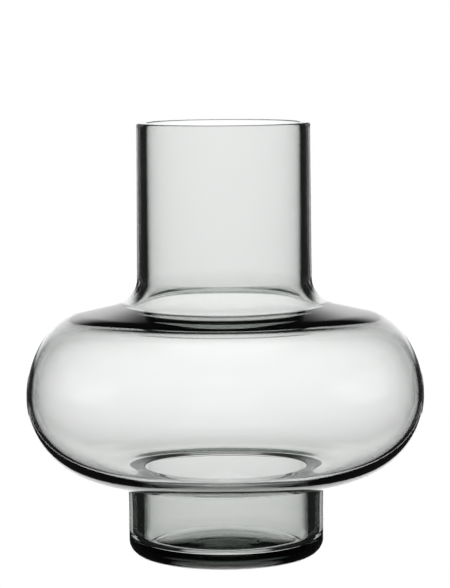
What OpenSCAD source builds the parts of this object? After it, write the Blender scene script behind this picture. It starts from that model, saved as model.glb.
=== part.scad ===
// Blown glass vase with a straight neck, a wide round body and a low foot
//
// The real vase is one continuous wall of clear glass. It is drawn as five rings
// of glass that meet face to face, from the top down:
//   neck      straight tube that carries the rim
//   shoulder  from the neck out to the widest line
//   bowl      from the widest line in to the top of the foot
//   foot      low round wall under the bowl, open to it inside
//   base      thick bottom that closes the foot
// Z is up, and the origin is on the table under the middle of the base.
// Angles are those of the outward normal: 0 points straight out and 90 straight up.

/* [Overall] */
// Height from the table to the rim
height = 335; // [310:1:380]
// Widest diameter of the body
body_d = 307; // [295:1:325]
// Height of the widest line above the table
belt_z = 125; // [120:1:132]

/* [Neck] */
// Outer diameter of the neck at the rim
neck_d = 133.5; // [124:0.5:144]
// Gain in the outer diameter from the rim down to the shoulder
neck_taper = 1.6; // [0:0.1:3]
// Wall of the neck at the rim
neck_wall = 7.4; // [5:0.1:9]
// Outer radius of the hollow curve between the neck and the shoulder
neck_fillet_r = 19; // [14:1:24]
// Inner radius of that curve
neck_in_fillet_r = 25; // [20:1:30]
// Radius on both edges of the rim
rim_r = 1.4; // [0.5:0.1:1.8]

/* [Body] */
// Wall at the widest line
body_wall = 4.2; // [4:0.1:5.2]
// Outer radius of the upper side, next above the widest line
upper_r = 83; // [80:1:86]
// Inner radius of the upper side
upper_in_r = 76; // [73:1:78]
// Angle at which the upper side turns into the tighter corner
upper_a = 31; // [24:1:38]
// Outer radius of the corner below the shoulder
corner_r = 50; // [47:1:53]
// Inner radius of that corner
corner_in_r = 43; // [40:1:45]
// Rise of the outer shoulder towards the neck, in degrees
shoulder_slope = 12.3; // [10:0.1:15]
// Degrees by which the inner shoulder is flatter than the outer one
shoulder_taper = 2.8; // [0:0.1:4]
// Outer radius of the lower side, next below the widest line
lower_r = 64; // [63.5:0.1:65]
// Inner radius of the lower side
lower_in_r = 55.5; // [53:0.5:56]
// Angle below the horizontal at which the outer lower side turns into the flatter underside
lower_a = 70.7; // [69.5:0.1:71.5]
// Outer radius of the underside
under_r = 145; // [140:1:160]
// Fall of the cone inside the bottom of the bowl towards the throat, in degrees
bottom_slope = 14; // [12:0.5:14.5]

/* [Foot] */
// Outer diameter of the foot
foot_d = 151.5; // [148:0.5:156]
// Radius of the hollow corner between the underside and the foot
foot_fillet_r = 2; // [0.5:0.1:3]
// Radius of the foot's lower outer corner
foot_corner_r = 13; // [6:1:14]
// Wall of the foot
throat_wall = 12; // [9:0.5:14]
// Radius of the lip where the bowl opens into the foot
lip_r = 2; // [1:0.5:6]

/* [Base] */
// Thickness of the bottom at its inner edge
base_t = 11; // [9:0.5:16]
// Rise of the floor from its edge to the middle
floor_dome = 8; // [1:0.5:10]
// Radius of the inner corner between the floor and the foot's wall
floor_corner_r = 8; // [6:0.5:10]
// Diameter of the hollow ground into the underside
recess_d = 104; // [80:1:110]
// Depth of that hollow at its middle
recess_h = 2; // [1:0.1:3]

/* [Hidden] */
$fn = 128;
glass = [0.80, 0.84, 0.82, 0.45];
arc_step = 2.5; // degrees between neighbouring points of an arc
dome_steps = 8;

function polar(r, a) = r * [cos(a), sin(a)];
// Points of an arc from angle a to angle b, without its first point
function arc(c, r, a, b) =
    let (n = ceil(abs(b - a) / arc_step))
    [for (i = [1 : n]) c + polar(r, a + (b - a) * i / n)];
function flip(points) = [for (i = [len(points) - 1 : -1 : 0]) points[i]];
// Centre of a circle of radius r that touches two straight lines from outside:
// one through p with a normal at angle a, one through q with a normal at angle b
function touch_c(p, a, q, b, r) =
    let (u = polar(1, a), v = polar(1, b))
    let (pu = r + p * u, qv = r + q * v)
    [pu * v[1] - qv * u[1], qv * u[0] - pu * v[0]] / cross(u, v);

body_r = body_d / 2;
body_in_r = body_r - body_wall;
neck_r = neck_d / 2;
neck_low_r = neck_r + neck_taper / 2;
bore_r = neck_r - neck_wall;
foot_r = foot_d / 2;
throat_r = foot_r - throat_wall;

// Upper half of the body, outside and inside: side arc, corner arc, then a straight
// shoulder up to the hollow curve of the neck
shoulder_a = 90 - shoulder_slope;
shoulder_in_a = shoulder_a + shoulder_taper;
upper_c = [body_r - upper_r, belt_z];
corner_c = upper_c + polar(upper_r - corner_r, upper_a);
upper_in_c = [body_in_r - upper_in_r, belt_z];
corner_in_c = upper_in_c + polar(upper_in_r - corner_in_r, upper_a);
neck_fillet_c = touch_c(
    [neck_low_r, 0], 0,
    corner_c + polar(corner_r, shoulder_a), shoulder_a,
    neck_fillet_r
);
neck_in_fillet_c = touch_c(
    [bore_r, 0], 0,
    corner_in_c + polar(corner_in_r, shoulder_in_a), shoulder_in_a,
    neck_in_fillet_r
);

// Lower half of the body outside: side arc, the flatter arc of the underside, then
// the hollow corner that touches it from below
lower_c = [body_r - lower_r, belt_z];
under_c = lower_c + polar(lower_r - under_r, -lower_a);
foot_fillet_x = foot_r + foot_fillet_r;
foot_fillet_c = [
    foot_fillet_x,
    under_c[1] - sqrt(pow(under_r + foot_fillet_r, 2) - pow(foot_fillet_x - under_c[0], 2))
];
foot_fillet_a = atan2(foot_fillet_c[1] - under_c[1], foot_fillet_c[0] - under_c[0]);

// Lower half of the body inside: side arc, a straight cone, then the lip of the throat
bottom_a = 90 - bottom_slope;
lower_in_c = [body_in_r - lower_in_r, belt_z];
lip_c = touch_c(
    [throat_r, 0], 0,
    lower_in_c + polar(lower_in_r, -bottom_a), -bottom_a,
    lip_r
);

floor_corner_c = [throat_r - floor_corner_r, base_t + floor_corner_r];

// Heights where the rings meet
neck_z = max(neck_fillet_c[1], neck_in_fillet_c[1]);
foot_z = min(foot_fillet_c[1], lip_c[1]);
base_z = floor_corner_c[1];

// Shallow round dome over the radius half, from the middle to its edge at height z
function dome(half, z, rise) =
    let (r = (pow(half, 2) + pow(rise, 2)) / (2 * rise))
    let (a = asin(half / r))
    [for (i = [0 : dome_steps]) [0, z + rise - r] + polar(r, 90 - a * i / dome_steps)];

// Ring of glass between an outer outline and an inner one, both listed upwards
module ring(outer, inner) {
    color(glass)
        rotate_extrude()
            polygon(concat(outer, flip(inner)));
}

module neck() {
    outer_edge_c = [neck_r - rim_r, height - rim_r];
    inner_edge_c = [bore_r + rim_r, height - rim_r];
    outer = concat(
        [[neck_low_r, neck_z], [neck_r, height - rim_r]],
        arc(outer_edge_c, rim_r, 0, 90)
    );
    inner = concat(
        [[bore_r, neck_z], [bore_r, height - rim_r]],
        arc(inner_edge_c, rim_r, 180, 90)
    );
    ring(outer, inner);
}

// Body outline from the widest radius side_r up to the neck's own radius at the height
// neck_z: an arc of radius r1 about c1, one of radius r2 about c2, a straight shoulder
// whose normal is at the angle a, then the hollow curve of radius r3 about c3
function shoulder_line(side_r, c1, r1, c2, r2, a, c3, r3) =
    concat(
        [[side_r, belt_z]],
        arc(c1, r1, 0, upper_a),
        arc(c2, r2, upper_a, a),
        [c3 + polar(r3, a - 180)],
        arc(c3, r3, a - 180, -180),
        neck_z > c3[1] ? [[c3[0] - r3, neck_z]] : []
    );

module shoulder() {
    ring(
        shoulder_line(
            body_r, upper_c, upper_r, corner_c, corner_r,
            shoulder_a, neck_fillet_c, neck_fillet_r
        ),
        shoulder_line(
            body_in_r, upper_in_c, upper_in_r, corner_in_c, corner_in_r,
            shoulder_in_a, neck_in_fillet_c, neck_in_fillet_r
        )
    );
}

// Start of a bowl outline at the height foot_z, below a round edge centred at c
function bowl_start(c, r) =
    concat([[c[0] - r, foot_z]], c[1] > foot_z ? [[c[0] - r, c[1]]] : []);

module bowl() {
    outer = concat(
        bowl_start(foot_fillet_c, foot_fillet_r),
        arc(foot_fillet_c, foot_fillet_r, 180, foot_fillet_a + 180),
        arc(under_c, under_r, foot_fillet_a, -lower_a),
        arc(lower_c, lower_r, -lower_a, 0)
    );
    inner = concat(
        bowl_start(lip_c, lip_r),
        arc(lip_c, lip_r, 180, 180 - bottom_a),
        [lower_in_c + polar(lower_in_r, -bottom_a)],
        arc(lower_in_c, lower_in_r, -bottom_a, 0)
    );
    ring(outer, inner);
}

module foot() {
    ring(
        [[foot_r, base_z], [foot_r, foot_z]],
        [[throat_r, base_z], [throat_r, foot_z]]
    );
}

module base() {
    outer = concat(
        dome(recess_d / 2, 0, recess_h),
        [[foot_r - foot_corner_r, 0]],
        arc([foot_r - foot_corner_r, foot_corner_r], foot_corner_r, -90, 0),
        [[foot_r, base_z]]
    );
    inner = concat(
        dome(floor_corner_c[0], base_t, floor_dome),
        arc(floor_corner_c, floor_corner_r, -90, 0)
    );
    ring(outer, inner);
}

neck();
shoulder();
bowl();
foot();
base();
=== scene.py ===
"""Looks of a blown glass vase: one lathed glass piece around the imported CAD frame.

The five CAD rings (neck, shoulder, bowl, foot, base) are one continuous wall of glass,
so the visual is one closed mesh. Its outline is built from the same arcs and straight
lines as the part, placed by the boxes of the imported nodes. The glass shows little of
its own: its bands and bright fields are the studio round it, so the world shader
describes the light panels by direction.
"""

import math

import bpy
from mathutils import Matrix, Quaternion, Vector


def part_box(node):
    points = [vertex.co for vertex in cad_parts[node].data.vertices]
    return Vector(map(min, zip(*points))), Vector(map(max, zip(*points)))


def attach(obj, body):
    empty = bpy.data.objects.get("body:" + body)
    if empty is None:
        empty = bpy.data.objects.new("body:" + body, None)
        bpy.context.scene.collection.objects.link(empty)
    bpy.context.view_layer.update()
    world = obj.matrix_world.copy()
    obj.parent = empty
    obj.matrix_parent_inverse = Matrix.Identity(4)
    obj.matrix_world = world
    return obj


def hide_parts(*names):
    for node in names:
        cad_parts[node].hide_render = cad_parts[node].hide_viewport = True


MM = 0.001

# ---- wall and curve sizes of the vase, in mm and degrees ----
NECK_TAPER = 1.6
NECK_WALL = 7.4
NECK_FILLET_R = 19
NECK_IN_FILLET_R = 25
RIM_R = 1.4
BODY_WALL = 4.2
UPPER_R = 83
UPPER_IN_R = 76
UPPER_A = 31
CORNER_R = 50
CORNER_IN_R = 43
SHOULDER_A = 90 - 12.3
SHOULDER_IN_A = SHOULDER_A + 2.8
LOWER_R = 64
LOWER_IN_R = 55.5
LOWER_A = 70.7
UNDER_R = 145
BOTTOM_A = 90 - 14
FOOT_FILLET_R = 2
FOOT_CORNER_R = 13
THROAT_WALL = 12
LIP_R = 2
BASE_T = 11
FLOOR_DOME = 8
FLOOR_CORNER_R = 8
RECESS_R = 52
RECESS_H = 2

# ---- mesh fineness: degrees per step of an arc, mm per step of a straight line ----
SIDES = 256
ARC_STEP = 1.5
EDGE_STEP = 9
LIP_STEP = 4
DOME_STEPS = 24
STRAIGHT_STEP = 4
SAME_POINT = 1e-4
ON_AXIS = 1e-6

# ---- glass ----
GLASS_IOR = 1.5
GLASS_TINT = (0.535, 0.560, 0.540, 1)
GLASS_DENSITY = 55
WAVE_SCALE = (6, 6, 14)
WAVE_STRENGTH = 0.02
WAVE_DEPTH = 0.0004

# ---- camera: distances in metres, angles in degrees ----
CAM_X = 0.0004
CAM_DISTANCE = 2.0414
CAM_HEIGHT = 0.4132
AIM_HEIGHT = 0.2027
CAM_ROLL = 0.44
SENSOR_MM = 36
LENS_MM = 163.05

# ---- studio: brightness, where 1 is plain white ----
PANEL_LIGHT = 1.36
STUDIO_DARK = 0.02
CEILING_LIGHT = 0.7
TABLE_LIGHT = 0.8

# ---- studio: where each soft edge starts and ends, in degrees ----
DEGREE = 180 / math.pi
PANEL_SPACING = 90
PANEL_TOP = (15, 28)
CEILING_EDGE = (62, 75)
TABLE_EDGE = (-62, -52)
# What refracted rays see: wide panels that fade downwards, and low panels between them
WIDE_EDGE = (18, 32)
WIDE_FADE = (-15, -3)
WIDE_FADED = 0.87
WIDE_END = (-34, -24)
WIDE_LEFT = 0.05
GAP_EDGE = (5, 18)
GAP_TOP = (-14, -12)
# What reflected rays see: the middle of the backdrop, narrow below and wider above
LOW_EDGE = (-1, 1)
LOW_END = (0, 4)
LOW_TOP = (-7, -5.5)
LOW_TOP_REACH = (8, 13)
LOW_FOOT = (-10.5, -9.5)
LOW_FOOT_REACH = (16, 8)
HIGH_EDGE = (12, 30)
HIGH_LEFT = 0.02
HIGH_START = (-1, 3)
SIDE_EDGE = (30, 50)
SIDE_LIGHT = 0.3
# Ray depth less transmission depth stays below this while a ray is only refracted
ONLY_REFRACTED = 1.5

FLOOR_SIZE = 40
FLOOR_DROP = 0.0005
GLASS_BOUNCES = 32
MIRROR_BOUNCES = 16


def polar(c, r, a):
    """Point at distance r from c in the direction a, in degrees."""
    return (c[0] + r * math.cos(math.radians(a)), c[1] + r * math.sin(math.radians(a)))


def arc(c, r, a, b, step=ARC_STEP):
    """Points of the arc about c from angle a to angle b."""
    n = max(1, math.ceil(abs(b - a) / step))
    return [polar(c, r, a + (b - a) * i / n) for i in range(n + 1)]


def straight(p, q):
    """Evenly spaced points from p to q."""
    n = max(1, math.ceil(math.dist(p, q) / STRAIGHT_STEP))
    return [(p[0] + (q[0] - p[0]) * i / n, p[1] + (q[1] - p[1]) * i / n) for i in range(n + 1)]


def dome(half, z, rise):
    """Shallow round dome over the radius half, from the middle to its edge at height z."""
    r = (half ** 2 + rise ** 2) / (2 * rise)
    a = math.degrees(math.asin(half / r))
    return arc((0, z + rise - r), r, 90, 90 - a, a / DOME_STEPS)


def touch(p, a, q, b, r):
    """Centre of a circle of radius r outside two lines, each a point and a normal angle."""
    u = polar((0, 0), 1, a)
    v = polar((0, 0), 1, b)
    pu = r + p[0] * u[0] + p[1] * u[1]
    qv = r + q[0] * v[0] + q[1] * v[1]
    det = u[0] * v[1] - u[1] * v[0]
    return ((pu * v[1] - qv * u[1]) / det, (qv * u[0] - pu * v[0]) / det)


def upper_line(side_r, belt_z, wide_r, corner_r, shoulder_a, neck_r, fillet_r):
    """Half outline from the widest line up to a neck of radius neck_r, and its top height."""
    side_c = (side_r - wide_r, belt_z)
    corner_c = polar(side_c, wide_r - corner_r, UPPER_A)
    corner_end = polar(corner_c, corner_r, shoulder_a)
    fillet_c = touch((neck_r, 0), 0, corner_end, shoulder_a, fillet_r)
    points = (
        arc(side_c, wide_r, 0, UPPER_A)
        + arc(corner_c, corner_r, UPPER_A, shoulder_a)
        + straight(corner_end, polar(fillet_c, fillet_r, shoulder_a - 180))
        + arc(fillet_c, fillet_r, shoulder_a - 180, -180)
    )
    return points, fillet_c[1]


def outer_line(height, body_r, belt_z, neck_low_r, foot_r):
    """Outside of the glass, from the middle of the underside up to the rim."""
    neck_r = neck_low_r - NECK_TAPER / 2
    lower_c = (body_r - LOWER_R, belt_z)
    under_c = polar(lower_c, LOWER_R - UNDER_R, -LOWER_A)
    fillet_x = foot_r + FOOT_FILLET_R
    fillet_drop = math.sqrt((UNDER_R + FOOT_FILLET_R) ** 2 - (fillet_x - under_c[0]) ** 2)
    fillet_c = (fillet_x, under_c[1] - fillet_drop)
    fillet_a = math.degrees(math.atan2(fillet_c[1] - under_c[1], fillet_c[0] - under_c[0]))
    upper, neck_z = upper_line(
        body_r, belt_z, UPPER_R, CORNER_R, SHOULDER_A, neck_low_r, NECK_FILLET_R
    )
    return (
        dome(RECESS_R, 0, RECESS_H)
        + straight((RECESS_R, 0), (foot_r - FOOT_CORNER_R, 0))
        + arc((foot_r - FOOT_CORNER_R, FOOT_CORNER_R), FOOT_CORNER_R, -90, 0)
        + straight((foot_r, FOOT_CORNER_R), (foot_r, fillet_c[1]))
        + arc(fillet_c, FOOT_FILLET_R, 180, fillet_a + 180, EDGE_STEP)
        + arc(under_c, UNDER_R, fillet_a, -LOWER_A)
        + arc(lower_c, LOWER_R, -LOWER_A, 0)
        + upper
        + straight((neck_low_r, neck_z), (neck_r, height - RIM_R))
        + arc((neck_r - RIM_R, height - RIM_R), RIM_R, 0, 90, EDGE_STEP)
    )


def inner_line(height, body_r, belt_z, neck_low_r, foot_r):
    """Inside of the glass, from the middle of the floor up to the rim."""
    bore_r = neck_low_r - NECK_TAPER / 2 - NECK_WALL
    throat_r = foot_r - THROAT_WALL
    side_r = body_r - BODY_WALL
    lower_c = (side_r - LOWER_IN_R, belt_z)
    lower_end = polar(lower_c, LOWER_IN_R, -BOTTOM_A)
    lip_c = touch((throat_r, 0), 0, lower_end, -BOTTOM_A, LIP_R)
    floor_c = (throat_r - FLOOR_CORNER_R, BASE_T + FLOOR_CORNER_R)
    upper, neck_z = upper_line(
        side_r, belt_z, UPPER_IN_R, CORNER_IN_R, SHOULDER_IN_A, bore_r, NECK_IN_FILLET_R
    )
    return (
        dome(floor_c[0], BASE_T, FLOOR_DOME)
        + arc(floor_c, FLOOR_CORNER_R, -90, 0, LIP_STEP)
        + straight((throat_r, floor_c[1]), (throat_r, lip_c[1]))
        + arc(lip_c, LIP_R, 180, 180 - BOTTOM_A, LIP_STEP)
        + straight(polar(lip_c, LIP_R, 180 - BOTTOM_A), lower_end)
        + arc(lower_c, LOWER_IN_R, -BOTTOM_A, 0)
        + upper
        + straight((bore_r, neck_z), (bore_r, height - RIM_R))
        + arc((bore_r + RIM_R, height - RIM_R), RIM_R, 180, 90, EDGE_STEP)
    )


def vase_outline():
    """Closed half section of the glass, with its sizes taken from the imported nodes."""
    neck_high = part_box("neck")[1]
    body_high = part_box("shoulder")[1]
    bowl_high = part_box("bowl")[1]
    foot_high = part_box("foot")[1]
    sizes = (
        neck_high.z / MM,
        body_high.x / MM,
        bowl_high.z / MM,
        neck_high.x / MM,
        foot_high.x / MM,
    )
    points = []
    for p in outer_line(*sizes) + inner_line(*sizes)[::-1]:
        if not points or math.dist(p, points[-1]) > SAME_POINT:
            points.append(p)
    return points


def lathe(name, outline):
    """Mesh of the outline, given in mm as (radius, height), turned about the Z axis."""
    verts = []
    rows = []
    for r, z in outline:
        start = len(verts)
        if r < ON_AXIS:
            verts.append((0, 0, z * MM))
            rows.append([start] * SIDES)
            continue
        for i in range(SIDES):
            a = 2 * math.pi * i / SIDES
            verts.append((r * math.cos(a) * MM, r * math.sin(a) * MM, z * MM))
        rows.append([start + i for i in range(SIDES)])
    faces = []
    for low, high in zip(rows, rows[1:]):
        for i in range(SIDES):
            j = (i + 1) % SIDES
            faces.append(list(dict.fromkeys((low[i], low[j], high[j], high[i]))))
    mesh = bpy.data.meshes.new(name)
    mesh.from_pydata(verts, [], faces)
    mesh.polygons.foreach_set("use_smooth", [True] * len(faces))
    obj = bpy.data.objects.new(name, mesh)
    bpy.context.scene.collection.objects.link(obj)
    return obj


class Nodes:
    """Short ways to add nodes to one node tree."""

    def __init__(self, owner):
        owner.use_nodes = True
        self.tree = owner.node_tree
        self.tree.nodes.clear()

    def add(self, kind, **settings):
        n = self.tree.nodes.new(kind)
        for key, value in settings.items():
            setattr(n, key, value)
        return n

    def link(self, a, b):
        self.tree.links.new(a, b)

    def put(self, socket, value):
        """Link value to the socket, or set it there if it's a number."""
        if isinstance(value, (int, float)):
            socket.default_value = value
        else:
            self.link(value, socket)

    def calc(self, operation, *values):
        n = self.add("ShaderNodeMath", operation=operation)
        for socket, value in zip(n.inputs, values):
            self.put(socket, value)
        return n.outputs[0]

    def product(self, first, *others):
        for other in others:
            first = self.calc("MULTIPLY", first, other)
        return first

    def brightest(self, first, *others):
        for other in others:
            first = self.calc("MAXIMUM", first, other)
        return first

    def ramp(self, x, edge, before, after):
        """Smooth change from before to after while x crosses the edge, a start and an end."""
        n = self.add("ShaderNodeMapRange", interpolation_type="SMOOTHSTEP", clamp=True)
        for name, value in (
            ("Value", x),
            ("From Min", edge[0]),
            ("From Max", edge[1]),
            ("To Min", before),
            ("To Max", after),
        ):
            self.put(n.inputs[name], value)
        return n.outputs["Result"]


def glass_material():
    """Clear glass with a faint smoky green body tint and slow blown waves."""
    mat = bpy.data.materials.new("smoky_glass")
    t = Nodes(mat)
    out = t.add("ShaderNodeOutputMaterial")

    place = t.add("ShaderNodeTexCoord")
    spread = t.add("ShaderNodeMapping")
    spread.inputs["Scale"].default_value = WAVE_SCALE
    waves = t.add("ShaderNodeTexNoise")
    waves.inputs["Detail"].default_value = 0
    bump = t.add("ShaderNodeBump")
    bump.inputs["Strength"].default_value = WAVE_STRENGTH
    bump.inputs["Distance"].default_value = WAVE_DEPTH
    t.link(place.outputs["Object"], spread.inputs["Vector"])
    t.link(spread.outputs["Vector"], waves.inputs["Vector"])
    t.link(waves.outputs[0], bump.inputs["Height"])

    surface = t.add("ShaderNodeBsdfPrincipled")
    surface.inputs["Base Color"].default_value = (1, 1, 1, 1)
    surface.inputs["Roughness"].default_value = 0
    surface.inputs["IOR"].default_value = GLASS_IOR
    surface.inputs["Transmission Weight"].default_value = 1
    t.link(bump.outputs["Normal"], surface.inputs["Normal"])
    t.link(surface.outputs[0], out.inputs["Surface"])

    body = t.add("ShaderNodeVolumeAbsorption")
    body.inputs["Color"].default_value = GLASS_TINT
    body.inputs["Density"].default_value = GLASS_DENSITY
    t.link(body.outputs[0], out.inputs["Volume"])
    return mat


def add_vase():
    vase = lathe("vase", vase_outline())
    vase.data.materials.append(glass_material())
    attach(vase, "root")
    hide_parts("neck", "shoulder", "bowl", "foot", "base")


def add_floor():
    """White table that only the camera sees, so it stays even right up to the glass."""
    bpy.ops.mesh.primitive_plane_add(size=FLOOR_SIZE, location=(0, 0, -FLOOR_DROP))
    floor = bpy.context.object
    floor.name = "floor"
    floor.visible_transmission = False
    floor.visible_glossy = False
    floor.visible_diffuse = False
    mat = bpy.data.materials.new("pale_floor")
    t = Nodes(mat)
    out = t.add("ShaderNodeOutputMaterial")
    glow = t.add("ShaderNodeEmission")
    glow.inputs["Color"].default_value = (1, 1, 1, 1)
    t.link(glow.outputs[0], out.inputs["Surface"])
    floor.data.materials.append(mat)


def studio_light(t, path):
    """Brightness of the studio by direction: azimuth 0 is behind the vase, in degrees."""
    place = t.add("ShaderNodeTexCoord")
    axes = t.add("ShaderNodeSeparateXYZ")
    t.link(place.outputs["Generated"], axes.inputs[0])
    x, y, z = axes.outputs
    az = t.product(t.calc("ARCTAN2", x, y), DEGREE)
    el = t.product(t.calc("ARCSINE", z), DEGREE)
    side = t.calc("ABSOLUTE", az)
    # Angles from the nearest of the four panels, and from the nearest gap between two
    half = PANEL_SPACING / 2
    turned = t.calc("WRAP", t.calc("ADD", az, half), PANEL_SPACING, 0)
    off_panel = t.calc("ABSOLUTE", t.calc("SUBTRACT", turned, half))
    in_quarter = t.calc("WRAP", az, PANEL_SPACING, 0)
    off_gap = t.calc("ABSOLUTE", t.calc("SUBTRACT", in_quarter, half))
    panel_top = t.ramp(el, PANEL_TOP, 1, 0)

    gap_light = t.product(t.ramp(off_gap, GAP_EDGE, 1, 0), t.ramp(el, GAP_TOP, 1, 0))
    wide = t.brightest(t.ramp(off_panel, WIDE_EDGE, 1, 0), gap_light)
    wide = t.product(wide, panel_top, t.ramp(el, WIDE_END, WIDE_LEFT, 1))
    wide = t.product(wide, t.ramp(el, WIDE_FADE, WIDE_FADED, 1))

    reach = t.brightest(
        t.ramp(el, LOW_TOP, *LOW_TOP_REACH), t.ramp(el, LOW_FOOT, *LOW_FOOT_REACH)
    )
    low = t.ramp(t.calc("SUBTRACT", reach, side), LOW_EDGE, 0, 1)
    low = t.product(low, t.ramp(el, LOW_END, 1, 0))
    high = t.product(t.ramp(off_panel, HIGH_EDGE, 1, HIGH_LEFT), t.ramp(el, HIGH_START, 0, 1))
    high = t.product(high, t.ramp(side, SIDE_EDGE, 1, SIDE_LIGHT))
    narrow = t.product(t.brightest(low, high), panel_top)

    depths = path.outputs
    mirrors = t.calc("SUBTRACT", depths["Ray Depth"], depths["Transmission Depth"])
    refracted = t.calc("LESS_THAN", mirrors, ONLY_REFRACTED)
    reflected = t.calc("SUBTRACT", 1, refracted)
    panels = t.calc("ADD", t.product(wide, refracted), t.product(narrow, reflected))
    ceiling = t.ramp(el, CEILING_EDGE, 0, CEILING_LIGHT)
    table = t.ramp(el, TABLE_EDGE, TABLE_LIGHT, 0)
    return t.brightest(t.product(panels, PANEL_LIGHT), STUDIO_DARK, ceiling, table)


def add_studio():
    """White to the camera itself, and a studio of soft panels to the glass."""
    world = bpy.data.worlds.new("studio")
    bpy.context.scene.world = world
    t = Nodes(world)
    path = t.add("ShaderNodeLightPath")
    light = studio_light(t, path)
    gray = t.add("ShaderNodeCombineColor")
    for channel in gray.inputs:
        t.link(light, channel)
    studio = t.add("ShaderNodeBackground")
    t.link(gray.outputs[0], studio.inputs["Color"])
    plain = t.add("ShaderNodeBackground")
    plain.inputs["Color"].default_value = (1, 1, 1, 1)
    choice = t.add("ShaderNodeMixShader")
    t.link(path.outputs["Is Camera Ray"], choice.inputs[0])
    t.link(studio.outputs[0], choice.inputs[1])
    t.link(plain.outputs[0], choice.inputs[2])
    out = t.add("ShaderNodeOutputWorld")
    t.link(choice.outputs[0], out.inputs["Surface"])


def add_camera():
    data = bpy.data.cameras.new("camera")
    data.sensor_width = SENSOR_MM
    data.lens = LENS_MM
    camera = bpy.data.objects.new("camera", data)
    bpy.context.scene.collection.objects.link(camera)
    camera.location = (CAM_X, -CAM_DISTANCE, CAM_HEIGHT)
    aim = Vector((CAM_X, 0, AIM_HEIGHT)) - camera.location
    roll = Quaternion((0, 0, 1), math.radians(-CAM_ROLL))
    camera.rotation_mode = "QUATERNION"
    camera.rotation_quaternion = aim.to_track_quat("-Z", "Y") @ roll
    bpy.context.scene.camera = camera


def set_light_paths():
    """Enough bounces for light to cross both walls of the vase several times."""
    scene = bpy.context.scene
    scene.view_settings.view_transform = "Standard"
    scene.cycles.max_bounces = GLASS_BOUNCES
    scene.cycles.transmission_bounces = GLASS_BOUNCES
    scene.cycles.glossy_bounces = MIRROR_BOUNCES
    scene.cycles.caustics_reflective = True
    scene.cycles.caustics_refractive = True


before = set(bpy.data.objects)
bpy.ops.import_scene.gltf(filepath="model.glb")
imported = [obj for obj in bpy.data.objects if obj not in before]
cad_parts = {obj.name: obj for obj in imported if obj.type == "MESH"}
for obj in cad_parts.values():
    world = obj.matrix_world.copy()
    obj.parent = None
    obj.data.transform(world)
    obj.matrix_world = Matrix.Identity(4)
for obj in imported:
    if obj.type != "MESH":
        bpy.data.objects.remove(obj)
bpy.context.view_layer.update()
add_vase()
add_floor()
add_studio()
add_camera()
set_light_paths()
